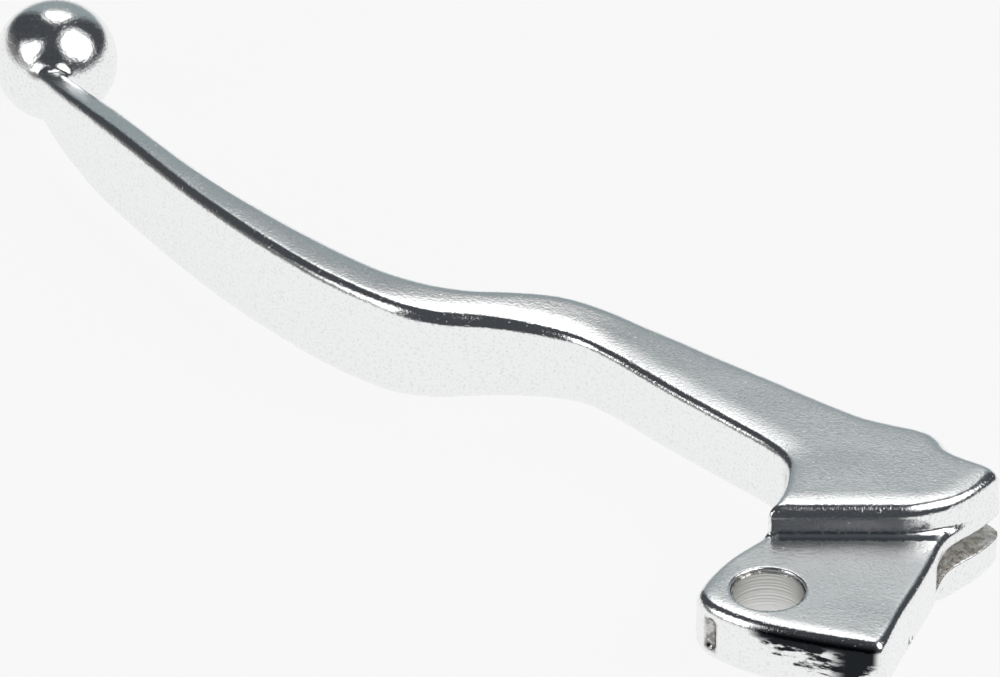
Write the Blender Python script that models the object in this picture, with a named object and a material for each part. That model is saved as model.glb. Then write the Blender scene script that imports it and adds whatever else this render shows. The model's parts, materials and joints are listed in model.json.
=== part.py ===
"""Clutch lever for a motorcycle: one cast blade with a ball end, and the bush in its pivot bore.

Metres, +Z up. The pivot axis is the Z axis, the ball lies towards -X, the handlebar
side faces -Y and the finger side +Y. Z = 0 is the underside of the pivot tongue.
"""

import math

import bmesh
import bpy
from mathutils import Vector

MM = 0.001

# heights of the casting
TONGUE_TOP = 9.4 * MM
HEAD_TOP = 13.9 * MM
HEAD_BOTTOM = -2.3 * MM
NECK_BOTTOM = 1.9 * MM
FINGER_RISE = 2.15 * MM      # how much the finger grip is thicker than the neck, on each side
TIP_FALL = 0.9 * MM          # how much the grip thins again towards the ball

# ball end
BALL_RADIUS = 9.4 * MM
BALL_CENTRE = (-179.2 * MM, 2.7 * MM, 7.9 * MM)

# pivot
BORE_RADIUS = 5.1 * MM
BORE_EDGE = 0.45 * MM
BUSH_OUTER = 5.0 * MM
BUSH_INNER = 4.1 * MM
BUSH_BOTTOM = 0.5 * MM
BUSH_TOP = 8.9 * MM
GROOVE_Z = 4.1 * MM
GROOVE_HALF = 0.35 * MM
GROOVE_DEPTH = 0.25 * MM

# step between the tongue and the thick head, a straight wall clear of the pivot
STEP_START = (-8.4 * MM, 10.4 * MM)
STEP_END = (3.2 * MM, 26.0 * MM)
STEP_CORNER = (-10.6 * MM, 7.5 * MM)
STEP_FILLET = 1.4 * MM
SLOT_TIP = (-0.2 * MM, 39.6 * MM)
BOSS_CORNER = (-9.4 * MM, 9.6 * MM)
BOSS_TIP = (0.4 * MM, 40.5 * MM)
BOSS_TOP = 5.2 * MM
TONGUE_CORNER = (19.4 * MM, 3.6 * MM)
TONGUE_START = (-13.2 * MM, 12.6 * MM)

# cable anchor
SLOT_BOTTOM = 3.4 * MM
SLOT_TOP = 7.0 * MM
SLOT_EDGE_Y = 23.7 * MM
SLOT_INNER_X = -9.0 * MM
SEAT_CENTRE = (-9.0 * MM, 31.0 * MM)
SEAT_RADIUS = 4.2 * MM
SEAT_TOP = 9.6 * MM
SLIT_HALF_WIDTH = 1.2 * MM

EDGE_ROWS = 4                # steps round each rounded edge
BLADE_STEPS = 4              # steps between two points of the blade's long sides
BLADE_PAIRS = 18 * BLADE_STEPS + 1


def ease(t):
    """Smooth step from 0 to 1."""
    t = max(0.0, min(1.0, t))
    return t * t * (3.0 - 2.0 * t)


def spline(points, steps, closed=False):
    """Catmull-Rom curve through the points, with so many steps to each stretch."""
    count = len(points)
    spans = count if closed else count - 1
    line = []
    for i in range(spans):
        p1 = Vector(points[i])
        p2 = Vector(points[(i + 1) % count])
        p0 = Vector(points[(i - 1) % count]) if closed or i > 0 else 2 * p1 - p2
        p3 = Vector(points[(i + 2) % count]) if closed or i < spans - 1 else 2 * p2 - p1
        t0 = 0.0
        t1 = t0 + math.sqrt((p1 - p0).length)
        t2 = t1 + math.sqrt((p2 - p1).length)
        t3 = t2 + math.sqrt((p3 - p2).length)
        for k in range(steps):
            t = t1 + (t2 - t1) * k / steps
            a1 = p0 * ((t1 - t) / (t1 - t0)) + p1 * ((t - t0) / (t1 - t0))
            a2 = p1 * ((t2 - t) / (t2 - t1)) + p2 * ((t - t1) / (t2 - t1))
            a3 = p2 * ((t3 - t) / (t3 - t2)) + p3 * ((t - t2) / (t3 - t2))
            b1 = a1 * ((t2 - t) / (t2 - t0)) + a2 * ((t - t0) / (t2 - t0))
            b2 = a2 * ((t3 - t) / (t3 - t1)) + a3 * ((t - t1) / (t3 - t1))
            line.append(b1 * ((t2 - t) / (t2 - t1)) + b2 * ((t - t1) / (t2 - t1)))
    if not closed:
        line.append(Vector(points[-1]))
    return [(p.x * MM, p.y * MM) for p in line]


def round_corner(before, at, after, radius, steps):
    """Arc that rounds the corner at a point between two straight stretches."""
    at = Vector(at)
    back = (Vector(before) - at).normalized()
    on = (Vector(after) - at).normalized()
    half = back.angle(on) / 2
    centre = at + (back + on).normalized() * radius / math.sin(half)
    first = at + back * radius / math.tan(half) - centre
    last = at + on * radius / math.tan(half) - centre
    swing = first.angle_signed(last)
    arc = []
    for k in range(steps + 1):
        a = -swing * k / steps
        arc.append((centre.x + first.x * math.cos(a) - first.y * math.sin(a),
                    centre.y + first.x * math.sin(a) + first.y * math.cos(a)))
    return arc


def blade_top(x):
    """Height of the top of the blade: it rises from the neck to the finger grip."""
    rise = FINGER_RISE * ease((-58 * MM - x) / (30 * MM))
    fall = TIP_FALL * ease((-125 * MM - x) / (40 * MM))
    return HEAD_TOP + rise - fall


def blade_bottom(x):
    """Height of the underside: the grip is as much deeper below as it is higher above."""
    return NECK_BOTTOM - (blade_top(x) - HEAD_TOP)


def blade_edge(p):
    """Radius of the blade's edges: larger along the grip, smaller by the ball and at corners."""
    grip = ease((-50 * MM - p.x) / (30 * MM))
    ball_end = ease((-138 * MM - p.x) / (16 * MM))
    hidden_end = ease((-171 * MM - p.x) / (4 * MM))
    radius = (2.1 + 0.6 * grip - 0.5 * ball_end - 1.6 * hidden_end) * MM
    for corner in (STEP_CORNER, SLOT_TIP):
        radius = min(radius, 0.75 * MM + 0.25 * math.dist(p, corner))
    return radius


def plate(name, outline, top, bottom, radius_top, radius_bottom, pairs=0):
    """Solid plate on a counter-clockwise outline, its top and bottom edges rounded.

    The first and the last points, so many of them, face each other across a long blade.
    """
    count = len(outline)
    points = [Vector(p) for p in outline]
    inward = []
    for i in range(count):
        before = (points[i] - points[i - 1]).normalized()
        after = (points[(i + 1) % count] - points[i]).normalized()
        n1 = Vector((-before.y, before.x))
        n2 = Vector((-after.y, after.x))
        normal = (n1 + n2).normalized()
        inward.append(normal / max(0.6, normal.dot(n1)))
    rows = []
    for k in range(EDGE_ROWS + 1):
        angle = math.pi / 2 * k / EDGE_ROWS
        row = []
        for p, n in zip(points, inward):
            r = radius_bottom(p)
            q = p + n * r * (1 - math.sin(angle))
            row.append((q.x, q.y, bottom(p.x) + r * (1 - math.cos(angle))))
        rows.append(row)
    for k in range(EDGE_ROWS + 1):
        angle = math.pi / 2 * k / EDGE_ROWS
        row = []
        for p, n in zip(points, inward):
            r = radius_top(p)
            q = p + n * r * (1 - math.cos(angle))
            row.append((q.x, q.y, top(p.x) - r * (1 - math.sin(angle))))
        rows.append(row)
    bm = bmesh.new()
    loops = [[bm.verts.new(co) for co in row] for row in rows]
    for low, high in zip(loops, loops[1:]):
        for i in range(count):
            j = (i + 1) % count
            bm.faces.new((low[i], low[j], high[j], high[i]))
    for i in range(pairs - 1):
        for loop in (loops[0], loops[-1]):
            bm.faces.new((loop[i], loop[i + 1], loop[-2 - i], loop[-1 - i]))
    rest = slice(max(pairs - 1, 0), count - max(pairs - 1, 0))
    caps = [bm.faces.new(loops[-1][rest]), bm.faces.new(loops[0][rest])]
    bmesh.ops.triangulate(bm, faces=caps, ngon_method="BEAUTY")
    return finish(name, bm)


def prism(name, outline, low, high):
    """Solid with straight walls on a counter-clockwise outline."""
    bm = bmesh.new()
    base = [bm.verts.new((x, y, low)) for x, y in outline]
    lid = [bm.verts.new((x, y, high)) for x, y in outline]
    count = len(outline)
    for i in range(count):
        j = (i + 1) % count
        bm.faces.new((base[i], base[j], lid[j], lid[i]))
    bm.faces.new(lid)
    bm.faces.new(list(reversed(base)))
    return finish(name, bm)


def turned(name, profile, centre, sides, closed_ring=False):
    """Solid turned about a vertical line through centre; the profile runs upwards on its outside."""
    bm = bmesh.new()
    rings = []
    for r, z in profile:
        if r == 0.0:
            rings.append([bm.verts.new((centre[0], centre[1], z))])
        else:
            ring = []
            for i in range(sides):
                a = 2 * math.pi * i / sides
                ring.append(bm.verts.new((centre[0] + r * math.cos(a), centre[1] + r * math.sin(a), z)))
            rings.append(ring)
    pairs = list(zip(rings, rings[1:]))
    if closed_ring:
        pairs.append((rings[-1], rings[0]))
    for low, high in pairs:
        for i in range(sides):
            j = (i + 1) % sides
            if len(low) == 1:
                bm.faces.new((low[0], high[j], high[i]))
            elif len(high) == 1:
                bm.faces.new((low[i], low[j], high[0]))
            else:
                bm.faces.new((low[i], low[j], high[j], high[i]))
    return finish(name, bm)


def finish(name, bm):
    """Turn the bmesh into an object of the scene with outward faces."""
    bmesh.ops.recalc_face_normals(bm, faces=bm.faces)
    mesh = bpy.data.meshes.new(name)
    bm.to_mesh(mesh)
    bm.free()
    obj = bpy.data.objects.new(name, mesh)
    bpy.context.scene.collection.objects.link(obj)
    return obj


def combine(target, other, operation):
    """Apply one exact Boolean and drop the second body."""
    other.display_type = "WIRE"
    other.hide_render = True
    modifier = target.modifiers.new(operation.lower(), "BOOLEAN")
    modifier.operation = operation
    modifier.solver = "EXACT"
    modifier.object = other
    graph = bpy.context.evaluated_depsgraph_get()
    mesh = bpy.data.meshes.new_from_object(target.evaluated_get(graph))
    target.modifiers.clear()
    target.data = mesh
    bpy.data.objects.remove(other)


def material(name, colour, metallic, roughness):
    """Principled material."""
    mat = bpy.data.materials.new(name)
    mat.use_nodes = True
    shader = mat.node_tree.nodes["Principled BSDF"]
    shader.inputs["Base Color"].default_value = (*colour, 1.0)
    shader.inputs["Metallic"].default_value = metallic
    shader.inputs["Roughness"].default_value = roughness
    mat.diffuse_color = (*colour, 1.0)
    return mat


def smooth(obj, angle):
    """Shade smooth with sharp edges above the angle."""
    mesh = obj.data
    mesh.shade_smooth()
    bm = bmesh.new()
    bm.from_mesh(mesh)
    for edge in bm.edges:
        edge.smooth = len(edge.link_faces) == 2 and edge.calc_face_angle(0.0) < angle
    bm.to_mesh(mesh)
    bm.free()


def blade_outline():
    """Outline of blade and head seen from above, counter-clockwise from inside the ball."""
    handlebar_side = spline(
        [(-177, -3.4), (-168, -5.4), (-160, -7.4), (-150, -9.3), (-140, -10.2), (-128, -10.5),
         (-116, -10.3), (-104, -9.6), (-94, -8.4), (-86, -6.6), (-80, -4.5), (-75, -0.8),
         (-70, 5.3), (-65, 10.0), (-60, 13.1), (-54, 14.4), (-44, 15.4), (-33, 16.8), (-24, 17.9)],
        BLADE_STEPS)
    inner_corner = spline(
        [(-24, 17.9), (-20.5, 17.9), (-17.2, 16.7), (-14.7, 14.4), (-12.8, 11.2)], 3)
    step_corner = round_corner((-12.8 * MM, 11.2 * MM), STEP_CORNER, STEP_END, 1.6 * MM, 5)
    step = spline([(-8.4, 10.6), (1.6, 23.8), (3.3, 26.4), (4.0, 28.4)], 3)
    slot_wall = spline([(4.0, 28.4), (3.8, 31.0), (3.1, 34.0), (1.9, 37.2), (0.9, 38.8)], 3)
    far_edge = spline(
        [(0.9, 38.8), (-0.6, 39.4), (-2.6, 39.2), (-5.4, 38.3), (-8.3, 37.7), (-10.4, 38.0),
         (-12.6, 38.2), (-15.4, 37.2), (-18.0, 35.7), (-21.2, 34.1), (-25.0, 33.1)], 3)
    finger_side = spline(
        [(-25.0, 33.1), (-34, 30.8), (-45, 27.9), (-57, 24.8), (-65, 22.2), (-71, 18.6),
         (-75.5, 13.4), (-79.6, 7.8), (-84, 4.2), (-89.5, 1.7), (-97, -0.1), (-106, -1.7),
         (-117, -3.0), (-128.5, -3.9), (-140, -4.1), (-150, -3.5), (-160, -2.1), (-168, 0.0),
         (-177, 3.4)], BLADE_STEPS)
    return joined(handlebar_side, inner_corner, step_corner, step, slot_wall, far_edge, finger_side)


def boss_outline():
    """Outline of the cable boss under the head: the head's own walls, a round back inside them."""
    step_corner = [(-9.4 * MM, 10.4 * MM)]
    step = spline([(-7.6, 11.4), (1.7, 23.8), (3.4, 26.4), (4.1, 28.4)], 3)
    slot_wall = spline([(4.1, 28.4), (3.9, 31.0), (3.3, 34.0), (2.4, 37.4), (1.5, 39.3)], 3)
    far_edge = spline(
        [(1.5, 39.3), (-0.6, 40.4), (-2.8, 40.3), (-5.4, 39.2), (-8.3, 38.4), (-12.6, 38.3),
         (-15.7, 37.2), (-18.1, 34.6)], 3)
    back = spline([(-18.1, 34.6), (-19.4, 30.0), (-18.6, 25.0), (-15.8, 19.4), (-12.4, 13.6),
                   (-10.6, 11.0), (-9.4, 10.4)], 3)
    return joined(step_corner, step, slot_wall, far_edge, back)[:-1]


def boss_edge(p):
    """Radius of the boss's lower edge."""
    radius = 2.4 * MM
    for corner in (BOSS_CORNER, BOSS_TIP):
        radius = min(radius, 0.5 * MM + 0.3 * math.dist(p, corner))
    return radius


def joined(*parts):
    """One line from several, each shared end kept once."""
    line = []
    for part in parts:
        line += part[1:] if line and math.dist(line[-1], part[0]) < 1e-9 else part
    return line


def tongue_outline():
    """Outline of the thin tongue that sits between the perch ears."""
    free_edge = spline(
        [(-11.5, 15.0), (-13.1, 12.4), (-12.4, 9.6), (-10.9, 5.4), (-9.6, 1.0), (-8.4, -3.2),
         (-7.2, -6.0), (-5.4, -8.1), (-2.6, -8.9), (1.6, -8.1), (6.4, -6.0), (11.6, -2.5),
         (16.9, 1.6)], 3)
    corner = spline([(16.9, 1.6), (18.6, 3.0), (19.2, 4.1), (18.7, 5.4)], 3)
    slot_side = spline([(18.7, 5.4), (14.9, 11.1), (11.0, 17.5), (7.5, 23.0), (4.4, 27.8)], 2)
    inside = [(1.0 * MM, 31.0 * MM), (-6.0 * MM, 27.0 * MM)]
    return joined(free_edge, corner, slot_side, inside)


def tongue_edge(p):
    """Radius of the tongue's top edge, widest along its free end."""
    near_end = ease((2.0 * MM - p.y) / (7 * MM))
    radius = (1.5 + 1.5 * near_end) * MM
    for corner in (TONGUE_CORNER, TONGUE_START):
        radius = min(radius, 0.9 * MM + 0.3 * math.dist(p, corner))
    return radius


def step_fillet(z, side):
    """Rounding in the corner between the step wall and the tongue face; side +1 above, -1 below."""
    along = (Vector(STEP_END) - Vector(STEP_START)).normalized()
    out = Vector((along.y, -along.x))
    steps = 4
    r = STEP_FILLET
    section = [(-0.4 * MM, -0.4 * MM), (r, -0.4 * MM)]
    for k in range(steps + 1):
        a = math.pi / 2 * k / steps
        section.append((r - r * math.sin(a), r - r * math.cos(a)))
    section.append((-0.4 * MM, r))
    start = Vector(STEP_START) - along * 1.2 * MM
    end = Vector(STEP_END) - along * 0.8 * MM
    bm = bmesh.new()
    ends = []
    for base in (start, end):
        ring = []
        for u, v in section:
            q = base + out * u
            ring.append(bm.verts.new((q.x, q.y, z + side * v)))
        ends.append(ring)
    count = len(section)
    for i in range(count):
        j = (i + 1) % count
        bm.faces.new((ends[0][i], ends[0][j], ends[1][j], ends[1][i]))
    bm.faces.new(ends[0])
    bm.faces.new(list(reversed(ends[1])))
    return finish("step_fillet", bm)


def sphere_profile(centre_z, radius, rows):
    """Half circle from bottom to top."""
    profile = []
    for k in range(rows + 1):
        a = -math.pi / 2 + math.pi * k / rows
        r = 0.0 if k in (0, rows) else radius * math.cos(a)
        profile.append((r, centre_z + radius * math.sin(a)))
    return profile


def bore_profile():
    """Pivot bore with a rounded edge at each face."""
    profile = [(0.0, -1 * MM), (BORE_RADIUS + 2 * BORE_EDGE, -1 * MM)]
    for k in range(4):
        a = math.pi / 2 * k / 3
        profile.append((BORE_RADIUS + BORE_EDGE * (1 - math.sin(a)), BORE_EDGE * (1 - math.cos(a))))
    for k in range(4):
        a = math.pi / 2 * (1 - k / 3)
        profile.append((BORE_RADIUS + BORE_EDGE * (1 - math.sin(a)),
                        TONGUE_TOP - BORE_EDGE * (1 - math.cos(a))))
    profile += [(BORE_RADIUS + 2 * BORE_EDGE, TONGUE_TOP + 1 * MM), (0.0, TONGUE_TOP + 1 * MM)]
    return profile


def build_lever():
    """The casting: blade and head, tongue, ball; then bore, cable slot, nipple seat and slit."""
    lever = plate("lever_body", blade_outline(), blade_top, blade_bottom,
                  blade_edge, blade_edge, BLADE_PAIRS)
    boss = plate("boss", boss_outline(), lambda x: BOSS_TOP, lambda x: HEAD_BOTTOM,
                 lambda p: 0.3 * MM, boss_edge)
    combine(lever, boss, "UNION")
    tongue = plate("tongue", tongue_outline(), lambda x: TONGUE_TOP, lambda x: 0.0,
                   tongue_edge, tongue_edge)
    combine(lever, tongue, "UNION")
    ball = turned("ball", sphere_profile(BALL_CENTRE[2], BALL_RADIUS, 22), BALL_CENTRE, 40)
    combine(lever, ball, "UNION")
    combine(lever, step_fillet(TONGUE_TOP, 1), "UNION")
    bore = turned("bore", bore_profile(), (0.0, 0.0), 48)
    combine(lever, bore, "DIFFERENCE")
    slot = prism("slot", [(SLOT_INNER_X, SLOT_EDGE_Y), (14 * MM, SLOT_EDGE_Y),
                          (14 * MM, 46 * MM), (SLOT_INNER_X, 46 * MM)], SLOT_BOTTOM, SLOT_TOP)
    combine(lever, slot, "DIFFERENCE")
    seat = turned("seat", [(0.0, HEAD_BOTTOM - 2 * MM), (SEAT_RADIUS, HEAD_BOTTOM - 2 * MM),
                           (SEAT_RADIUS, SEAT_TOP), (0.0, SEAT_TOP)], SEAT_CENTRE, 40)
    combine(lever, seat, "DIFFERENCE")
    slit_left = SEAT_CENTRE[0] - SLIT_HALF_WIDTH
    slit_right = SEAT_CENTRE[0] + SLIT_HALF_WIDTH
    slit = prism("slit", [(slit_left, SEAT_CENTRE[1]), (slit_right, SEAT_CENTRE[1]),
                          (slit_right, 46 * MM), (slit_left, 46 * MM)],
                 HEAD_BOTTOM - 2 * MM, SLOT_BOTTOM + 1 * MM)
    combine(lever, slit, "DIFFERENCE")
    lever.data.materials.clear()
    lever.data.materials.append(material("polished_alloy", (0.86, 0.87, 0.88), 1.0, 0.16))
    smooth(lever, math.radians(30))
    return lever


def build_bush():
    """Thin sleeve in the pivot bore, with a grease groove round its inside."""
    edge = 0.15 * MM
    outside = [(BUSH_INNER + edge, BUSH_BOTTOM), (BUSH_OUTER - edge, BUSH_BOTTOM),
               (BUSH_OUTER, BUSH_BOTTOM + edge), (BUSH_OUTER, BUSH_TOP - edge),
               (BUSH_OUTER - edge, BUSH_TOP), (BUSH_INNER + edge, BUSH_TOP)]
    inside = [(BUSH_INNER, BUSH_TOP - edge), (BUSH_INNER, GROOVE_Z + GROOVE_HALF),
              (BUSH_INNER + GROOVE_DEPTH, GROOVE_Z + GROOVE_HALF / 2),
              (BUSH_INNER + GROOVE_DEPTH, GROOVE_Z - GROOVE_HALF / 2),
              (BUSH_INNER, GROOVE_Z - GROOVE_HALF), (BUSH_INNER, BUSH_BOTTOM + edge)]
    bush = turned("pivot_bush", outside + inside, (0.0, 0.0), 48, closed_ring=True)
    bush.data.materials.append(material("bush_steel", (0.62, 0.60, 0.57), 1.0, 0.35))
    smooth(bush, math.radians(30))
    return bush


def main():
    for old in list(bpy.data.objects):
        bpy.data.objects.remove(old)
    bush = build_bush()
    lever = build_lever()
    lever.parent = bush


main()
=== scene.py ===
import bpy
import json
import math
import numpy as np
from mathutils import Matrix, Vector


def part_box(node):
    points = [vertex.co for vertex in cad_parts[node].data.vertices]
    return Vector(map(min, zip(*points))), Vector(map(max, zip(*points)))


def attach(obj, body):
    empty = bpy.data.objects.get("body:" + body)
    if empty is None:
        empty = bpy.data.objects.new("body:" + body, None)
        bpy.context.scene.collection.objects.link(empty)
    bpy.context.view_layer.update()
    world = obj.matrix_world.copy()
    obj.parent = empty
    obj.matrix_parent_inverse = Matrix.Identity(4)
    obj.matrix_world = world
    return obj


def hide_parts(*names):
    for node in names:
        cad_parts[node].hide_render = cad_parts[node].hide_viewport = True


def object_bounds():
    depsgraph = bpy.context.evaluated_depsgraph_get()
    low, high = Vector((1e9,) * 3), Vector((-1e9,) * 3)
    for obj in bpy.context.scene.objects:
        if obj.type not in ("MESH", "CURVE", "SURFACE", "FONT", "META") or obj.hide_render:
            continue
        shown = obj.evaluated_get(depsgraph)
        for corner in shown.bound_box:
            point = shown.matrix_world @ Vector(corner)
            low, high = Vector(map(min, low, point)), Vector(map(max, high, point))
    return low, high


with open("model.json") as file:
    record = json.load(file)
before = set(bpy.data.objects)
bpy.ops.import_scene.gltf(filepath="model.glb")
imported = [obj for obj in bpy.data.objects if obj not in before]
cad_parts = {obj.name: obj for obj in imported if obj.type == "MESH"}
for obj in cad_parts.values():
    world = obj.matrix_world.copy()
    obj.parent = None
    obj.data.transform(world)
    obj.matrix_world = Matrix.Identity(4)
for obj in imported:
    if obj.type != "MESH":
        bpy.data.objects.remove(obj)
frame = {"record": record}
cadLow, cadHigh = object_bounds()
record = frame["record"]
mm = 0.001
print("frame loaded")

leverLow, leverHigh = [np.array(corner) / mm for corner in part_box("lever_body")]
bushLow, bushHigh = [np.array(corner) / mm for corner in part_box("pivot_bush")]
tongueTop = next(m for m in record["mounts"] if m["name"] == "tongue_top")["pos_m"][2] / mm


# the casting, in millimetres; x runs from the ball (minus) to the pivot at 0, y from handlebar to fingers
casting = dict(
    handlebarSide=[(-177, -3.4), (-170, -5.6), (-163, -7.1), (-157, -8.0), (-152, -8.7), (-144, -9.4),
                   (-134, -10.0), (-123, -10.4), (-113, -10.2), (-104, -9.6), (-94, -8.4),
                   (-86, -6.6), (-80, -4.5), (-75, -0.8),
                   (-70, 5.3), (-65, 10.0), (-60, 13.1), (-54, 14.4), (-44, 15.4), (-33, 16.8),
                   (-24, 17.9), (-20.4, 17.85), (-17.6, 16.9), (-15.1, 14.9), (-13.4, 13.1), (-12.1, 11.4)],
    tongueEdge=[(-11.2, 9.7), (-10.7, 7.6), (-10.2, 4.8), (-9.5, 1.2), (-8.3, -3.0), (-7.1, -5.7),
                (-5.4, -7.9), (-2.6, -8.9), (1.6, -8.1), (6.4, -6.0), (11.6, -2.5), (16.9, 1.6),
                (18.6, 3.0), (19.2, 4.1), (18.7, 5.4), (14.9, 11.1), (11.0, 17.5), (7.6, 22.8),
                (5.2, 26.2)],
    headEdge=[(4.1, 28.5), (3.6, 31.0), (3.2, 34.0), (2.3, 37.4), (1.4, 39.2), (-0.1, 40.0),
              (-2.3, 39.8), (-5.0, 39.0), (-7.9, 38.5), (-10.0, 39.0), (-12.2, 39.2), (-15.0, 38.2),
              (-17.8, 36.4), (-21.2, 34.5), (-25.0, 33.2)],
    fingerSide=[(-34, 30.8), (-45, 27.9), (-57, 24.8), (-65, 22.2), (-71, 18.6), (-75.5, 13.4),
                (-79.6, 7.8), (-84, 4.2), (-89.5, 1.7), (-97, -0.1), (-106, -1.7), (-117, -3.0),
                (-128.5, -3.8), (-137, -4.0), (-145, -3.9), (-151, -3.5), (-157, -3.0), (-163, -2.3),
                (-170, -1.0), (-177, 1.2)],
    outlineStep=0.25,
    # the line along the blade between its handlebar half and its finger half, which are rounded differently
    middle=[(-177, -1.0), (-163, -4.7), (-152, -6.1), (-134, -7.0), (-113, -6.4), (-97, -4.7),
            (-86, -2.0), (-80, 1.5), (-75, 6.5), (-70, 12.3), (-65, 16.0), (-60, 18.5), (-54, 20.0),
            (-44, 21.8), (-33, 24.0), (-24, 26.0), (0, 28.0)],
    middleWidth=4.0,
    headTop=13.9, neckBottom=1.9,
    gripRise=2.15, gripFade=(-56, 30),  # the grip is this much thicker on each face than the neck
    # towards the ball both faces close in by tipFall, and the top comes down by tipDrop as well
    tipFade=(-120, 40),
    tipFall=[(-178, 3.6), (-170, 3.0), (-163, 2.1), (-157, 1.45), (-152, 1.0), (-144, 0.55),
             (-134, 0.3), (-115, 0.0)],
    tipDrop=[(-178, 2.0), (-170, 1.6), (-163, 1.15), (-157, 0.75), (-152, 0.4), (-147, 0.15),
             (-138, 0.0)],
    # the blade's faces fall away towards their edges, most on the handlebar side
    camber=0.6, camberWidth=4.5, camberLess=dict(finger=0.75, grip=0.4, tipWidth=0.45),
    ballRadius=9.4, ballSide=2.7, ballFillet=1.3,
    stepDistance=12.9, stepAngle=53.6,  # the step is a straight wall this far from the pivot
    stepEdge=1.5, stepFoot=0.7,
    stepCrown=(0.55, 4.2),             # the head's top falls by this, over this width, towards the step
    bladeFade=(3, 12),                 # the blade's own shape comes in this far behind the step
    headSide=(80.2, 9.05, 5.0),        # bearing and distance of the head's right side, and its corner
    endCrown=(0.55, 3.0),              # the tongue's top falls in the same way towards the free end
    # edge radii: one for all, then what is added where the words say
    topRound=dict(all=1.3, blade=-0.1, grip=0.5, finger=1.9, tip=0.1, fingerTip=-1.9, bend=-0.2),
    lowRound=dict(all=2.2, blade=0.4, finger=0.6, freeEnd=0.5, tip=-0.9),
    bend=(-63, 8),
    # the boss under the head: two bars from end to end with a radius, then its corner, edge and fillet
    bossBars=[((-8, 29), (10, 31), 11.0), ((-8, 29), (-3.5, 15), 10.5)],
    bossCorner=1.5, bossEdge=2.0, bossFillet=2.0,
    tongueUnder=(5, 1.0),              # the tongue's underside is at 0 up to here behind the step
    notch=((-1.1, -9.2), 1.05, (3.4, 6.6)),  # upright groove in the free end's wall: place, radius, heights
    dimple=((-1.4, -9.4, 1.3), 0.8),   # and a small pit below it
    notchEdge=0.25,
    boreRadius=5.05, boreEdge=0.25,
    slot=(3.4, 7.0), slotEdge=23.7, slotInner=-9.0, slotCorner=0.12,
    seatCentre=(-9.0, 31.0), seatRadius=4.2, seatTop=9.6, seatCorner=0.3,
    slitHalf=1.2, slitTop=5.0, slitCorner=0.2,
    waviness=0.012,                    # hand-polished faces are never quite true
    margin=0.6,                        # empty space round the casting on the grid
    fineStep=0.34, coarseStep=0.75,    # mesh size round the pivot, and along the blade
    fineFrom=-26.0,
    evenTurns=3, settleTurns=2,        # times the mesh is evened out, then brought back on the surface
)


# smooth step from 0 to 1
def ease(t):
    t = np.clip(t, 0.0, 1.0)
    return t * t * (3 - 2 * t)


# larger of two distances, with the corner between them rounded to a radius
def roundMax(a, b, radius):
    return (np.hypot(np.maximum(a + radius, 0), np.maximum(b + radius, 0)) - radius
            + np.minimum(np.maximum(a + radius, b + radius), 0))


# smaller of two distances, with a fillet of a radius where they meet
def roundMin(a, b, radius):
    return -roundMax(-a, -b, radius)


# closed curve through the points (centripetal Catmull-Rom), sampled about every spacing
def closedCurve(points, spacing):
    p1 = np.array(points, float)
    p0, p2, p3 = np.roll(p1, 1, 0), np.roll(p1, -1, 0), np.roll(p1, -2, 0)
    knot = lambda a, b: np.sqrt(np.linalg.norm(b - a, axis=1))[:, None, None]
    t1 = knot(p0, p1)
    t2 = t1 + knot(p1, p2)
    t3 = t2 + knot(p2, p3)
    dense = 80
    t = t1 + (t2 - t1) * np.linspace(0, 1, dense, endpoint=False)[None, :, None]
    p0, p1, p2, p3 = [p[:, None, :] for p in (p0, p1, p2, p3)]
    a1 = p0 * (t1 - t) / t1 + p1 * t / t1
    a2 = p1 * (t2 - t) / (t2 - t1) + p2 * (t - t1) / (t2 - t1)
    a3 = p2 * (t3 - t) / (t3 - t2) + p3 * (t - t2) / (t3 - t2)
    b1 = a1 * (t2 - t) / t2 + a2 * t / t2
    b2 = a2 * (t3 - t) / (t3 - t1) + a3 * (t - t1) / (t3 - t1)
    line = (b1 * (t2 - t) / (t2 - t1) + b2 * (t - t1) / (t2 - t1)).reshape(-1, 2)
    loop = np.vstack([line, line[:1]])
    run = np.concatenate([[0], np.cumsum(np.linalg.norm(np.diff(loop, axis=0), axis=1))])
    even = np.linspace(0, run[-1], int(run[-1] / spacing), endpoint=False)
    return np.stack([np.interp(even, run, loop[:, k]) for k in (0, 1)], 1)


outline = closedCurve(casting["handlebarSide"] + casting["tongueEdge"] + casting["headEdge"]
                      + casting["fingerSide"], casting["outlineStep"])
outlineNext = np.roll(outline, -1, 0)
outlineAlong = outlineNext - outline
outlineLength2 = (outlineAlong ** 2).sum(1)
outlineOut = np.stack([outlineAlong[:, 1], -outlineAlong[:, 0]], 1) / np.sqrt(outlineLength2)[:, None]


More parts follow.
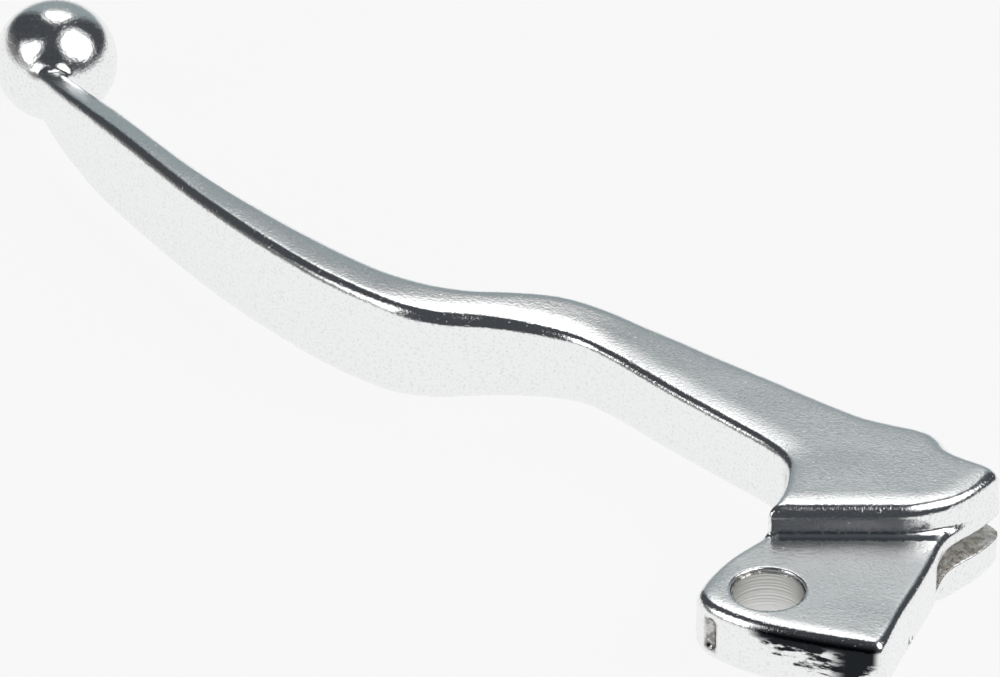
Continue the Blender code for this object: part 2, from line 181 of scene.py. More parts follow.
# distance in plan from points to the outline, minus inside, and its gradient:
# the nearest of every tenth point first, then the nearest stretch around it
def planDistance(points):
    skip = 10
    coarse = outline[::skip]
    batch = 20000
    near = np.arange(-skip, skip + 1)
    distance = np.empty(len(points))
    gradient = np.empty((len(points), 2))
    for start in range(0, len(points), batch):
        p = points[start:start + batch]
        square = ((p ** 2).sum(1)[:, None] + (coarse ** 2).sum(1)[None] - 2 * p @ coarse.T)
        which = (square.argmin(1) * skip)[:, None] + near[None]
        which %= len(outline)
        along, a = outlineAlong[which], outline[which]
        t = np.clip(((p[:, None] - a) * along).sum(2) / outlineLength2[which], 0, 1)
        away = p[:, None] - a - along * t[:, :, None]
        size = (away ** 2).sum(2)
        best = size.argmin(1)
        row = np.arange(len(p))
        away, out = away[row, best], outlineOut[which[row, best]]
        side = np.where((away * out).sum(1) < 0, -1.0, 1.0)
        length = np.sqrt(size[row, best])
        distance[start:start + batch] = side * length
        unit = away * (side / np.maximum(length, 1e-9))[:, None]
        gradient[start:start + batch] = np.where(length[:, None] > 1e-6, unit, out)
    return distance, gradient


# distance in plan from a bar with round ends, minus inside
def capsule(x, y, a, b, radius):
    dx, dy = b[0] - a[0], b[1] - a[1]
    t = np.clip(((x - a[0]) * dx + (y - a[1]) * dy) / (dx * dx + dy * dy), 0, 1)
    return np.hypot(x - a[0] - dx * t, y - a[1] - dy * t) - radius


ballCentre = np.array([leverLow[0] + casting["ballRadius"], casting["ballSide"],
                       leverHigh[2] - casting["ballRadius"]])


# a value read off a list of (x, value) between its points
def readOff(x, pairs):
    return np.interp(x, *np.array(pairs).T)


# distance from a point, minus inside the radius
def sphere(x, y, z, centre, radius):
    return np.sqrt((x - centre[0]) ** 2 + (y - centre[1]) ** 2 + (z - centre[2]) ** 2) - radius


# distance from an upright groove with round ends: its axis in plan, its radius and its lowest and highest z
def uprightGroove(x, y, z, axis, radius, heights):
    offAxis = z - np.clip(z, *heights)
    return np.sqrt((x - axis[0]) ** 2 + (y - axis[1]) ** 2 + offAxis ** 2) - radius


# fall towards an edge: the square of how far into the width, times the depth
def crown(distance, depth, width):
    return depth * np.clip(1 + distance / width, 0, 1) ** 2


# the whole casting as one formula, negative inside: the plan outline cut to its top and bottom
# faces with rounded edges, joined to the ball with a fillet, less the bore, slot, seat and slit
def castingField(x, y, z, plan):
    c = casting
    angle = math.radians(c["stepAngle"])
    step = x * math.sin(angle) - y * math.cos(angle) + c["stepDistance"]   # minus behind the step
    blade = ease((-step - c["bladeFade"][0]) / c["bladeFade"][1])
    grip = ease((c["gripFade"][0] - x) / c["gripFade"][1])
    toBall = ease((c["tipFade"][0] - x) / c["tipFade"][1])
    freeEnd = ease((4.0 - y + 0.25 * x) / 8) * ease((x + 16) / 6)          # the half beyond the bore
    fingerHalf = ease((y - readOff(x, c["middle"])) / c["middleWidth"] + 0.5)
    rise = c["gripRise"] * grip - readOff(x, c["tipFall"])

    less = c["camberLess"]
    depth = c["camber"] * blade * (1 - less["finger"] * fingerHalf) * (1 - less["grip"] * grip)
    bladeFall = crown(plan, depth, c["camberWidth"] * (1 - less["tipWidth"] * toBall))
    sideAngle, sideDistance, sideCorner = c["headSide"]
    sideTurn = math.radians(sideAngle)
    side = x * math.sin(sideTurn) + y * math.cos(sideTurn) - sideDistance
    edge = roundMax(step, side, sideCorner)
    fall = bladeFall + crown(edge, *c["stepCrown"])
    endFall = crown(plan, c["endCrown"][0] * freeEnd, c["endCrown"][1])
    top = roundMax(z - (c["headTop"] + rise - fall - readOff(x, c["tipDrop"])), edge, c["stepEdge"])
    top = roundMin(z - (tongueTop - endFall), top, c["stepFoot"])

    bossRegion = np.minimum(*[capsule(x, y, *bar) for bar in c["bossBars"]])
    boss = roundMax(leverLow[2] - z, roundMax(bossRegion, step, c["bossCorner"]), c["bossEdge"])
    bottom = roundMin((c["neckBottom"] - rise + bladeFall) - z, boss, c["bossFillet"])
    underReach, underFillet = c["tongueUnder"]
    bottom = roundMin(bottom, np.maximum(-z, -step - underReach), underFillet)

    r = c["topRound"]
    topEdge = r["all"] + r["blade"] * blade + r["grip"] * grip + r["finger"] * fingerHalf * blade
    topEdge = topEdge + (r["tip"] + r["fingerTip"] * fingerHalf) * toBall
    atBend = np.exp(-((x - c["bend"][0]) / c["bend"][1]) ** 2)
    topEdge = topEdge + r["bend"] * atBend * (1 - fingerHalf)
    r = c["lowRound"]
    lowEdge = (r["all"] + r["blade"] * blade + r["finger"] * fingerHalf * blade
               + r["freeEnd"] * freeEnd + r["tip"] * toBall)
    body = roundMax(roundMax(plan, top, topEdge), bottom, lowEdge)
    body = roundMin(body, sphere(x, y, z, ballCentre, c["ballRadius"]), c["ballFillet"])
    body = body + c["waviness"] * (np.sin(x * 0.61 + 1.3) * np.sin(y * 0.5 + z * 0.37)
                                   + np.sin(x * 0.27 - y * 0.43 + 0.8) * np.sin(z * 0.45 + x * 0.11))

    marks = np.minimum(uprightGroove(x, y, z, *c["notch"]), sphere(x, y, z, *c["dimple"]))
    body = roundMax(body, -marks, c["notchEdge"])
    body = roundMax(body, c["boreRadius"] - np.hypot(x, y), c["boreEdge"])
    slot = np.maximum(np.maximum(z - c["slot"][1], c["slot"][0] - z),
                      np.maximum(c["slotEdge"] - y, c["slotInner"] - x))
    body = roundMax(body, -slot, c["slotCorner"])
    seatX, seatY = c["seatCentre"]
    seat = np.maximum(np.hypot(x - seatX, y - seatY) - c["seatRadius"], z - c["seatTop"])
    body = roundMax(body, -seat, c["seatCorner"])
    slit = np.maximum(np.maximum(np.abs(x - seatX) - c["slitHalf"], seatY - y), z - c["slitTop"])
    return roundMax(body, -slit, c["slitCorner"])


# mesh of a field's zero level on a box grid: one vertex in each cell that the surface crosses,
# at the mean of its crossings with the cell's edges, and one face round each crossed grid edge
def zeroLevel(values, axes):
    shape = np.array(values.shape)
    inside = values < 0
    cells = shape - 1
    total = np.zeros((*cells, 3))
    count = np.zeros(cells)
    crossings = []
    for axis in range(3):
        low = [slice(None)] * 3
        high = [slice(None)] * 3
        low[axis], high[axis] = slice(None, -1), slice(1, None)
        low, high = tuple(low), tuple(high)
        crossed = inside[low] != inside[high]
        where = np.argwhere(crossed)
        v0, v1 = values[low][crossed], values[high][crossed]
        t = v0 / (v0 - v1)
        point = np.stack([axes[k][where[:, k]] for k in range(3)], 1)
        a = axes[axis][where[:, axis]]
        point[:, axis] = a + t * (axes[axis][where[:, axis] + 1] - a)
        crossings.append((axis, where, inside[low][crossed]))
        other = [k for k in range(3) if k != axis]
        for du in (0, 1):
            for dv in (0, 1):
                cell = where.copy()
                cell[:, other[0]] -= du
                cell[:, other[1]] -= dv
                good = ((cell >= 0) & (cell < cells)).all(1)
                index = tuple(cell[good].T)
                np.add.at(total, index, point[good])
                np.add.at(count, index, 1)
    used = count > 0
    number = np.full(cells, -1)
    number[used] = np.arange(used.sum())
    vertices = total[used] / count[used][:, None]
    faces = []
    for axis, where, startsInside in crossings:
        u, v = [(1, 2), (2, 0), (0, 1)][axis]
        corner = []
        for du, dv in ((1, 1), (0, 1), (0, 0), (1, 0)):
            cell = where.copy()
            cell[:, u] -= du
            cell[:, v] -= dv
            corner.append(number[tuple(cell.T)])
        quad = np.stack(corner, 1)
        faces.append(np.where(startsInside[:, None], quad, quad[:, ::-1]))
    return vertices, np.concatenate(faces)


# field and its gradient at scattered points, by small steps, the plan distance followed along its slope
def fieldAt(points):
    plan, slope = planDistance(points[:, :2])
    x, y, z = points.T
    h = 0.004
    value = castingField(x, y, z, plan)
    planX, planY = slope.T * h
    gradient = np.stack([
        castingField(x + h, y, z, plan + planX) - castingField(x - h, y, z, plan - planX),
        castingField(x, y + h, z, plan + planY) - castingField(x, y - h, z, plan - planY),
        castingField(x, y, z + h, plan) - castingField(x, y, z - h, plan)], 1) / (2 * h)
    return value, gradient


# grid positions from high down to low: a fine step apart above fineFrom, spreading to coarse below it
def gradedAxis(low, high, fineFrom, fine, coarse):
    positions = [high]
    while positions[-1] > low:
        spread = ease((fineFrom - positions[-1]) / 12)
        positions.append(positions[-1] - (fine + (coarse - fine) * spread))
    return np.array(positions[::-1])


# mesh object from points in millimetres
def meshPiece(name, vertices, faces, material):
    mesh = bpy.data.meshes.new(name)
    mesh.from_pydata((vertices * mm).tolist(), [], faces.tolist())
    mesh.shade_smooth()
    mesh.materials.append(material)
    piece = bpy.data.objects.new(name, mesh)
    bpy.context.scene.collection.objects.link(piece)
    return piece


# the casting's mesh, with attributes for its satin faces and for the painted shade in the groove
def makeCasting(material):
    c = casting
    low, high = leverLow - c["margin"], leverHigh + c["margin"]
    fine = c["fineStep"]
    axes = [gradedAxis(low[0], high[0], c["fineFrom"], fine, c["coarseStep"]),
            np.arange(low[1], high[1] + fine, fine),
            np.arange(low[2], high[2] + fine, fine)]
    gx, gy = np.meshgrid(axes[0], axes[1], indexing="ij")
    plan, _ = planDistance(np.stack([gx.ravel(), gy.ravel()], 1))
    plan = plan.reshape(gx.shape)
    values = castingField(gx[:, :, None], gy[:, :, None], axes[2][None, None, :],
                          np.broadcast_to(plan[:, :, None], (*gx.shape, len(axes[2]))))
    vertices, faces = zeroLevel(values, axes)
    edges = np.concatenate([faces[:, [a, b]] for a, b in ((0, 1), (1, 2), (2, 3), (3, 0))])
    ends = np.concatenate([edges[:, 0], edges[:, 1]])
    others = np.concatenate([edges[:, 1], edges[:, 0]])
    degree = np.bincount(ends, minlength=len(vertices))
    for turn in range(c["evenTurns"] + c["settleTurns"]):
        value, gradient = fieldAt(vertices)
        square = np.maximum((gradient ** 2).sum(1), 0.05)
        vertices = vertices - gradient * np.clip(value / square, -0.3, 0.3)[:, None]
        if turn < c["evenTurns"]:         # half way to the neighbours' mean, along the surface only
            mean = np.stack([np.bincount(ends, vertices[others, k], len(vertices)) for k in range(3)], 1)
            shift = (mean / degree[:, None] - vertices) * 0.5
            unit = gradient / np.sqrt(square)[:, None]
            vertices = vertices + shift - unit * (shift * unit).sum(1)[:, None]
    print("casting:", len(vertices), "vertices")
    piece = meshPiece("lever_casting", vertices, faces, material)

    x, y, z = vertices.T
    up = gradient[:, 2] / np.sqrt((gradient ** 2).sum(1))
    onTongue = ease((tongueTop + 0.8 - z) / 0.6)
    satin = ease((up - 0.93) / 0.06) * ease((x + 70) / 30) * (1 + 0.15 * onTongue)
    axis, radius, (grooveLow, grooveHigh) = c["notch"]
    # mask for the painted shade inside the notch's groove
    groove = ease((radius + 0.25 - np.hypot(x - axis[0], y - axis[1])) / 0.3)
    groove = groove * ease((z - grooveLow + 1.2) / 0.4) * ease((grooveHigh + 1.0 - z) / 0.5)
    for layer, value in (("satin", satin), ("groove", groove)):
        attribute = piece.data.attributes.new(layer, "FLOAT", "POINT")
        attribute.data.foreach_set("value", value.astype(np.float32))
    return piece


# a Principled material with the values that are the same all over it
def newMaterial(name, colour, metallic, roughness):
    material = bpy.data.materials.new(name)
    material.use_nodes = True
    nodes, links = material.node_tree.nodes, material.node_tree.links
    shader = nodes["Principled BSDF"]
    shader.inputs["Base Color"].default_value = (*colour, 1)
    shader.inputs["Metallic"].default_value = metallic
    shader.inputs["Roughness"].default_value = roughness
    return material, nodes, links, shader


def addNode(nodes, kind, **inputs):
    node = nodes.new(kind)
    for key, value in inputs.items():
        node.inputs[key].default_value = value
    return node


# colours are linear, lengths in metres; noise scales are in cells per metre
alloyLook = dict(
    colour=(0.905, 0.912, 0.912), roughness=(0.09, 0.14), patchScale=90.0,
    satin=0.14,                        # rougher by this on the head and tongue
    grain=0.7, grainScale=2400.0, grainDepth=0.00006,  # the fine speckle that the polishing leaves
    mottle=0.16, mottleColour=(0.3, 0.31, 0.32),
    specks=0.7, speckScale=1500.0, speckDepth=0.00003,  # scattered pits
    stain=0.35, stainScale=700.0, stainColour=(0.78, 0.78, 0.77),
    footShade=(0.13, 0.145, 0.16),     # painted shade along the crease at the foot of the step
    footRagged=(1500.0, 0.0011), footRough=0.35,
    # painted shade in the free end's groove, patchy between a darker and a lighter grey
    grooveShadeDark=(0.20, 0.19, 0.18), grooveShadeLight=(0.55, 0.54, 0.52),
    slotColour=(0.52, 0.48, 0.43), slotWorn=(0.88, 0.87, 0.84),  # the slot is rough and stained
    slotRough=0.22, slotDepth=0.0006,
    scuffColour=(0.016, 0.018, 0.021),  # the black smear on the free end
    scuffSlope=(0.0076, 0.36),         # its lower limit at the left, and how fast that drops to the right
    scuffEdge=(260.0, 0.006), rubScale=420.0,
    marks=[((0.0129, 0.0142, 0.0020), 0.0013), ((0.0062, 0.0246, 0.0006), 0.0008)],
)


# polished cast alloy: nearly a mirror, with polishing grain, pits, softer patches, a stained slot, painted
# shade in the groove and along the foot of the step, and a scuffed black smear on the free end's wall
def polishedAlloy():
    look = alloyLook
    material, nodes, links, shader = newMaterial("polished_alloy_cast", look["colour"], 1.0, 0.2)
    coords = nodes.new("ShaderNodeTexCoord")
    split = nodes.new("ShaderNodeSeparateXYZ")
    links.new(coords.outputs["Object"], split.inputs["Vector"])

    def math2(operation, a, b):
        node = nodes.new("ShaderNodeMath")
        node.operation = operation
        for slot, value in enumerate((a, b)):
            if isinstance(value, (int, float)):
                node.inputs[slot].default_value = value
            else:
                links.new(value, node.inputs[slot])
        return node.outputs["Value"]

    def plus(a, b):
        return math2("ADD", a, b)

    def minus(a, b):
        return math2("SUBTRACT", a, b)

    def times(*values):
        product = values[0]
        for value in values[1:]:
            product = math2("MULTIPLY", product, value)
        return product

    def ramp(value, low, high, toLow=0.0, toHigh=1.0):
        node = addNode(nodes, "ShaderNodeMapRange", **{"From Min": low, "From Max": high,
                                                       "To Min": toLow, "To Max": toHigh})
        node.interpolation_type = "SMOOTHSTEP"
        links.new(value, node.inputs["Value"])
        return node.outputs["Result"]

    def noise(scale, detail, stretch=None):
        node = addNode(nodes, "ShaderNodeTexNoise", Scale=scale, Detail=detail, Roughness=0.6)
        place = coords.outputs["Object"]
        if stretch:                       # pattern drawn out along the free end's wall
            mapping = nodes.new("ShaderNodeMapping")
            mapping.inputs["Scale"].default_value = stretch
            mapping.inputs["Rotation"].default_value = (0, 0, math.radians(-23.6))
            links.new(place, mapping.inputs["Vector"])
            place = mapping.outputs["Vector"]
        links.new(place, node.inputs["Vector"])
        return node.outputs["Fac"]

    def mixColour(factor, a, b):
        node = nodes.new("ShaderNodeMix")
        node.data_type = "RGBA"
        links.new(factor, node.inputs[0])
        for slot, value in ((6, a), (7, b)):
            if isinstance(value, tuple):
                node.inputs[slot].default_value = (*value, 1)
            else:
                links.new(value, node.inputs[slot])
        return node.outputs[2]

    def attribute(name):
        node = nodes.new("ShaderNodeAttribute")
        node.attribute_name = name
        return node.outputs["Fac"]

    def bump(height, strength, distance, under=None, invert=False):
        node = nodes.new("ShaderNodeBump")
        node.invert = invert
        node.inputs["Distance"].default_value = distance
        if isinstance(strength, float):
            node.inputs["Strength"].default_value = strength
        else:
            links.new(strength, node.inputs["Strength"])
        links.new(height, node.inputs["Height"])
        if under:
            links.new(under, node.inputs["Normal"])
        return node.outputs["Normal"]

    x, y, z = split.outputs["X"], split.outputs["Y"], split.outputs["Z"]
    inSlot = times(times(ramp(y, 0.0232, 0.0236), ramp(x, -0.0092, -0.0088)),
                   times(ramp(z, 0.00325, 0.0034), ramp(z, 0.00715, 0.0070)))

    # the smear: along and out from the free end's wall, ragged below, with rubbed bare places
    along = plus(times(x, 0.917), times(y, 0.40))
    out = minus(times(x, 0.40), times(y, 0.917))
    scuffLow, scuffDrop = look["scuffSlope"]
    lowest = minus(scuffLow, times(along, scuffDrop))
    lowest = plus(lowest, ramp(along, 0.0150, 0.0190, 0.0, 0.0045))
    raggedScale, raggedSize = look["scuffEdge"]
    ragged = times(minus(noise(raggedScale, 5.0, (1.0, 1.0, 3.0)), 0.5), raggedSize)
    smear = times(ramp(along, 0.0005, 0.0035), ramp(along, 0.0192, 0.0182))
    smear = times(smear, ramp(out, 0.0036, 0.0044),
                  ramp(minus(plus(z, ragged), lowest), -0.0002, 0.0005), ramp(z, 0.0094, 0.0082))
    rubbed = ramp(noise(look["rubScale"], 6.0, (0.7, 1.0, 3.2)), 0.46, 0.57)
    rubbedHere = times(ramp(along, 0.0150, 0.0120), ramp(z, 0.0078, 0.0066))
    smear = times(smear, minus(1.0, times(rubbed, rubbedHere)))

    # small casting marks low on the right-hand wall
    for at, size in look["marks"]:
        away = nodes.new("ShaderNodeVectorMath")
        away.operation = "DISTANCE"
        away.inputs[1].default_value = at
        links.new(coords.outputs["Object"], away.inputs[0])
        mark = times(ramp(away.outputs["Value"], size, size * 0.8), ramp(noise(1700.0, 3.0), 0.50, 0.56))
        smear = math2("MAXIMUM", smear, mark)

    # the foot of the step, where the painted shade strip lies: distance in front of it and along it
    turn = math.radians(casting["stepAngle"])
    front = plus(times(x, math.sin(turn)), times(y, -math.cos(turn)))
    front = plus(front, casting["stepDistance"] * mm)
    aside = plus(times(x, math.cos(turn)), times(y, math.sin(turn)))
    raggedScale, raggedSize = look["footRagged"]
    front = plus(front, times(minus(noise(raggedScale, 4.0), 0.5), raggedSize))
    # mask of the painted shade strip along the crease at the foot of the step; the strip is also made
    # rougher
    foot = times(ramp(front, -0.00030, 0.00005), ramp(front, 0.00145, 0.00125))
    foot = times(foot, times(ramp(aside, 0.0012, 0.0020), ramp(aside, 0.0246, 0.0228)))
    foot = times(foot, times(ramp(z, 0.0086, 0.0090), ramp(z, 0.0103, 0.0099)))

    stain = ramp(noise(look["stainScale"], 4.0), 0.62, 0.80, 0.0, look["stain"])
    mottle = times(ramp(noise(look["grainScale"], 2.0), 0.52, 0.66), look["mottle"])
    slotPatch = mixColour(ramp(noise(900.0, 5.0), 0.4, 0.6), look["slotColour"], look["slotWorn"])
    # painted shade in the groove, darker and lighter by noise
    grooveShadePatch = mixColour(ramp(noise(1100.0, 3.0), 0.42, 0.6), look["grooveShadeDark"], look["grooveShadeLight"])
    colour = mixColour(stain, look["colour"], look["stainColour"])
    colour = mixColour(mottle, colour, look["mottleColour"])
    colour = mixColour(inSlot, colour, slotPatch)
    # painted shade in the groove
    colour = mixColour(attribute("groove"), colour, grooveShadePatch)
    # painted shade along the crease at the foot of the step
    colour = mixColour(foot, colour, look["footShade"])
    colour = mixColour(smear, colour, look["scuffColour"])
    links.new(colour, shader.inputs["Base Color"])

    rough = ramp(noise(look["patchScale"], 3.0), 0.3, 0.7, *look["roughness"])
    rough = plus(rough, times(attribute("satin"), look["satin"]))
    rough = plus(rough, times(inSlot, look["slotRough"]))
    rough = plus(rough, times(foot, look["footRough"]))
    links.new(rough, shader.inputs["Roughness"])

    pits = ramp(noise(look["speckScale"], 2.0), 0.66, 0.74)
    normal = bump(noise(look["grainScale"], 3.0), look["grain"], look["grainDepth"])
    normal = bump(pits, look["specks"], look["speckDepth"], normal, invert=True)
    normal = bump(noise(1300.0, 4.0), times(inSlot, 0.8), look["slotDepth"], normal)
    links.new(normal, shader.inputs["Normal"])
    return material


# the sleeve's own sizes in millimetres; its ends and outside come from the frame
bushLook = dict(
    colour=(0.74, 0.74, 0.725), roughness=(0.24, 0.5),
    lines=(150, 150, 5200),            # noise cells per metre, drawn out round the bore
    lineBump=(0.6, 0.00008),
    bore=4.7, edge=0.15, pitch=0.52, rings=0.034,
    groove=(2.1, 0.3, 0.12),           # its height, half width and depth
    along=260, around=192,             # mesh steps
)


# turned steel: grey, with rings round the bore and uneven gloss
def turnedSteel():
    look = bushLook
    material, nodes, links, shader = newMaterial("bush_steel_turned", look["colour"], 1.0, 0.34)
    coords = nodes.new("ShaderNodeTexCoord")
    squash = nodes.new("ShaderNodeMapping")
    squash.inputs["Scale"].default_value = look["lines"]
    links.new(coords.outputs["Object"], squash.inputs["Vector"])
    lines = addNode(nodes, "ShaderNodeTexNoise", Scale=1.0, Detail=2.0, Roughness=0.5)
    links.new(squash.outputs["Vector"], lines.inputs["Vector"])
    strength, distance = look["lineBump"]
    bump = addNode(nodes, "ShaderNodeBump", Strength=strength, Distance=distance)
    links.new(lines.outputs["Fac"], bump.inputs["Height"])
    links.new(bump.outputs["Normal"], shader.inputs["Normal"])
    low, high = look["roughness"]
    rough = addNode(nodes, "ShaderNodeMapRange", **{"To Min": low, "To Max": high})
    links.new(lines.outputs["Fac"], rough.inputs["Value"])
    links.new(rough.outputs["Result"], shader.inputs["Roughness"])
    return material


# the sleeve: its wall's section carried round the bore; the inside is rippled by rings a pitch apart,
# deeper in some places than in others
def makeBush(material):
    look = bushLook
    outer, bottom, top = bushHigh[0], bushLow[2], bushHigh[2]
    inner, edge = look["bore"], look["edge"]
    grooveZ, grooveHalf, grooveDepth = look["groove"]
    z = np.linspace(top - edge, bottom + edge, look["along"])
    wander = 0.5 + 0.5 * np.sin(z * 2.3 + 0.7) * np.sin(z * 5.1)
    r = inner + look["rings"] * wander * (0.5 + 0.5 * np.sin(2 * np.pi * z / look["pitch"])) ** 2
    r = r + grooveDepth * np.exp(-((z - grooveZ) / grooveHalf) ** 4)
    outside = np.array([(inner + edge, bottom), (outer - edge, bottom), (outer, bottom + edge),
                        (outer, top - edge), (outer - edge, top), (inner + edge, top)])
    section = np.vstack([outside, np.stack([r, z], 1)])
    around = np.linspace(0, 2 * np.pi, look["around"], endpoint=False)
    ringX = section[:, 0][None] * np.cos(around)[:, None]
    ringY = section[:, 0][None] * np.sin(around)[:, None]
    ringZ = np.broadcast_to(section[:, 1][None], ringX.shape)
    vertices = np.stack([ringX, ringY, ringZ], 2).reshape(-1, 3)
    n = len(section)
    i, j = np.meshgrid(np.arange(len(around)), np.arange(n), indexing="ij")
    i2, j2 = (i + 1) % len(around), (j + 1) % n
    faces = np.stack([i * n + j, i2 * n + j, i2 * n + j2, i * n + j2], 2).reshape(-1, 4)
    return meshPiece("bush_sleeve", vertices, faces, material)


alloy = polishedAlloy()
castingPiece = makeCasting(alloy)
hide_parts("lever_body")
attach(castingPiece, "lever")

steel = turnedSteel()
bushPiece = makeBush(steel)
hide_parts("pivot_bush")
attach(bushPiece, "bush")
print("pieces made")


# floor, light and camera; angles in degrees, lengths in metres
studio = dict(
    azimuth=53.743, elevation=32.0, distance=0.95, lens=236.16,
    aim=(-0.0844, 0.0174, 0.0),
    floor=0.905, floorColour=0.05,     # its own glow, and the grey that takes light
    floorFront=0.06, floorSize=6.0, floorGap=0.0002,
    pale=0.94,                         # what stands behind the floor
    backdrop=(0.305, 0.352, 0.368), surround=(0.062, 0.066, 0.074), sideGlow=(0.235, 0.235, 0.225),
    # where each fades out and in: slope across the far side, then share of a unit direction
    farEdges=((-0.85, -0.6), (0.62, 0.42)), farBand=((0.0, 0.05), (0.80, 0.66)),
    glowBand=((0.72, 0.92), (0.40, 0.20)), lowBand=((0.55, 0.75), (0.13, 0.05)),
)

# each light panel: corners as turn to the right of the camera's bearing and elevation, in degrees,
# then its distance, its strength and the heights between which its lower edge fades in
panels = dict(
    overhead=([(-152, 57), (178, 76), (148, 60), (150, 42), (166, 36), (-172, 36), (-163, 42)],
              2.6, 2.0, (1.65, 2.0)),
    right=([(108, 58), (70, 72), (24, 57), (31, 30), (64, 12), (88, 19), (97, 29)], 1.6, 2.0, None),
    left=([(-86, 29), (-62, 48), (-43, 57), (-39, 44), (-41, 28), (-43, 13), (-58, 15)], 1.1, 2.0, None),
)


def linkMesh(name, points, faces):
    mesh = bpy.data.meshes.new(name)
    mesh.from_pydata(points, [], faces)
    thing = bpy.data.objects.new(name, mesh)
    bpy.context.scene.collection.objects.link(thing)
    return thing


# a level sheet just under the part, glowing evenly, that ends a little way in front of it
def makeFloor():
    size = studio["floorSize"]
    front = direction(0, 0)
    aside = direction(90, 0)
    down = Vector((0, 0, cadLow[2] - studio["floorGap"]))
    floor = linkMesh("floor", [front * near + aside * across + down for near, across in
                               ((studio["floorFront"], -size), (studio["floorFront"], size),
                                (-size, size), (-size, -size))], [(0, 1, 2, 3)])
    grey = studio["floorColour"]
    material, _, _, shader = newMaterial("pale_floor", (grey, grey, grey), 0.0, 0.9)
    shader.inputs["Specular IOR Level"].default_value = 0.0
    shader.inputs["Emission Color"].default_value = (1, 1, 1, 1)
    shader.inputs["Emission Strength"].default_value = studio["floor"]
    floor.data.materials.append(material)


# direction from the object: to the right of the camera's bearing by turn, and up by elevation
def direction(turn, elevation):
    bearing = math.radians(studio["azimuth"] + turn)
    e = math.radians(elevation)
    return Vector((math.sin(bearing) * math.cos(e), -math.cos(bearing) * math.cos(e), math.sin(e)))


# a glowing sheet that only reflections see: its corners all lie at one distance from the ball, and
# with fade heights its lower part falls to the backdrop's brightness
def makePanel(name, corners, distance, strength, fadeHeights):
    centre = Vector(ballCentre * mm)
    points = [centre + direction(*corner) * distance for corner in corners]
    panel = linkMesh("panel_" + name, points, [tuple(range(len(points)))])
    material = bpy.data.materials.new("panel_" + name)
    material.use_nodes = True
    nodes = material.node_tree.nodes
    nodes.clear()
    glow = nodes.new("ShaderNodeEmission")
    glow.inputs["Strength"].default_value = strength
    if fadeHeights:
        coords = nodes.new("ShaderNodeTexCoord")
        split = nodes.new("ShaderNodeSeparateXYZ")
        fadeIn = nodes.new("ShaderNodeMapRange")
        fadeIn.interpolation_type = "SMOOTHSTEP"
        fadeIn.inputs["From Min"].default_value, fadeIn.inputs["From Max"].default_value = fadeHeights
        fadeIn.inputs["To Min"].default_value = studio["backdrop"][1]
        fadeIn.inputs["To Max"].default_value = strength
        material.node_tree.links.new(coords.outputs["Object"], split.inputs["Vector"])
        material.node_tree.links.new(split.outputs["Z"], fadeIn.inputs["Value"])
        material.node_tree.links.new(fadeIn.outputs["Result"], glow.inputs["Strength"])
    output = nodes.new("ShaderNodeOutputMaterial")
    material.node_tree.links.new(glow.outputs["Emission"], output.inputs["Surface"])
    panel.data.materials.append(material)
    panel.visible_camera = False


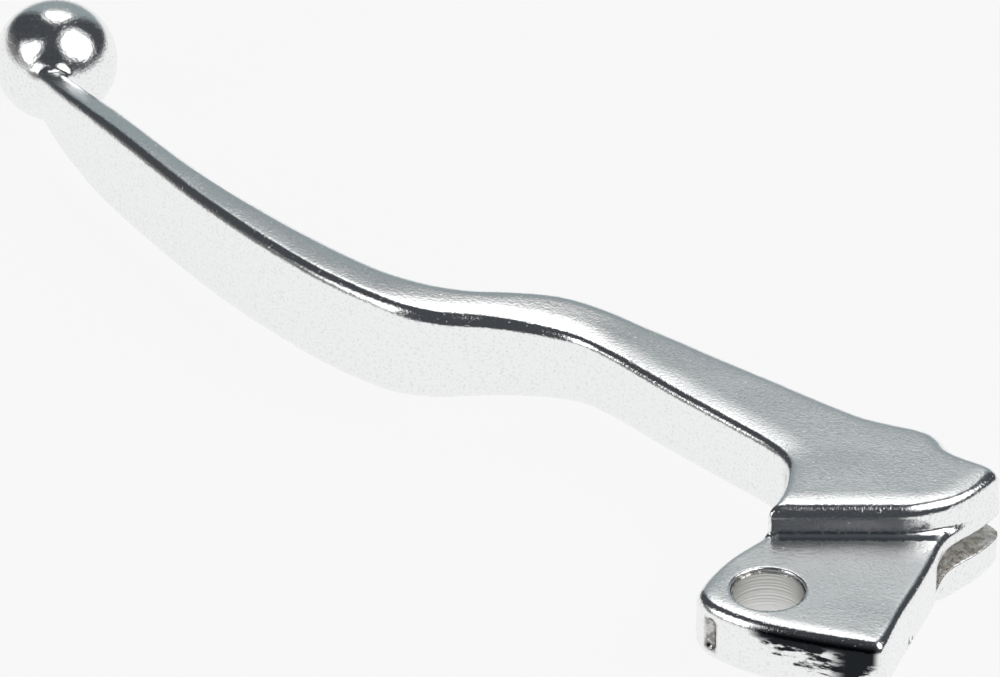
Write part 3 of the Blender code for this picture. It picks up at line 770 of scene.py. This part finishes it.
# the room: dark overhead and beside the camera, a grey backdrop on the far side, a dim glow to the left
# and, low down there, the floor's brightness; the camera itself sees only the pale background
def makeWorld():
    world = bpy.data.worlds.new("studio")
    bpy.context.scene.world = world
    world.use_nodes = True
    nodes, links = world.node_tree.nodes, world.node_tree.links
    background = nodes["Background"]
    coords = nodes.new("ShaderNodeTexCoord")

    def along(vector):
        dot = nodes.new("ShaderNodeVectorMath")
        dot.operation = "DOT_PRODUCT"
        dot.inputs[1].default_value = vector
        links.new(coords.outputs["Generated"], dot.inputs[0])
        return dot.outputs["Value"]

    def fade(value, low, high):
        ramp = nodes.new("ShaderNodeMapRange")
        ramp.interpolation_type = "SMOOTHSTEP"
        ramp.inputs["From Min"].default_value = low
        ramp.inputs["From Max"].default_value = high
        links.new(value, ramp.inputs["Value"])
        return ramp.outputs["Result"]

    def times(a, b):
        product = nodes.new("ShaderNodeMath")
        product.operation = "MULTIPLY"
        links.new(a, product.inputs[0])
        links.new(b, product.inputs[1])
        return product.outputs["Value"]

    def blendColour(factor, a, b):
        mix = nodes.new("ShaderNodeMix")
        mix.data_type = "RGBA"
        links.new(factor, mix.inputs[0])
        for slot, value in ((6, a), (7, b)):
            if isinstance(value, tuple):
                mix.inputs[slot].default_value = (*value, 1)
            else:
                links.new(value, mix.inputs[slot])
        return mix.outputs[2]

    height = along((0, 0, 1))
    farSide = along(direction(180, 0))
    leftSide = along(direction(-88, 0))
    across = nodes.new("ShaderNodeMath")
    across.operation = "DIVIDE"
    links.new(along(direction(-90, 0)), across.inputs[0])
    links.new(farSide, across.inputs[1])
    (oneEdge, otherEdge), (behind, over) = studio["farEdges"], studio["farBand"]
    backdrop = times(fade(across.outputs["Value"], *oneEdge), fade(across.outputs["Value"], *otherEdge))
    backdrop = times(backdrop, times(fade(farSide, *behind), fade(height, *over)))
    sideways, upward = studio["glowBand"]
    glow = times(fade(leftSide, *sideways), fade(height, *upward))
    colour = blendColour(glow, studio["surround"], studio["sideGlow"])
    sideways, upward = studio["lowBand"]
    lowLight = times(fade(leftSide, *sideways), fade(height, *upward))
    colour = blendColour(lowLight, colour, (studio["floor"],) * 3)
    colour = blendColour(backdrop, colour, studio["backdrop"])
    seen = nodes.new("ShaderNodeLightPath")
    pale = (studio["pale"],) * 3
    colour = blendColour(seen.outputs["Is Camera Ray"], colour, pale)
    links.new(colour, background.inputs["Color"])


# camera at its bearing and elevation, looking at the aim
def makeCamera():
    camera = bpy.data.cameras.new("camera")
    camera.sensor_width = 36.0
    camera.lens = studio["lens"]
    camera.clip_end = 20.0
    eye = bpy.data.objects.new("camera", camera)
    bpy.context.scene.collection.objects.link(eye)
    back = direction(0, studio["elevation"])
    eye.location = Vector(studio["aim"]) + back * studio["distance"]
    eye.rotation_euler = back.to_track_quat("Z", "Y").to_euler()
    bpy.context.scene.camera = eye


makeFloor()
makeWorld()
for name, panel in panels.items():
    makePanel(name, *panel)
makeCamera()
bpy.context.scene.view_settings.view_transform = "Standard"
print("studio set")
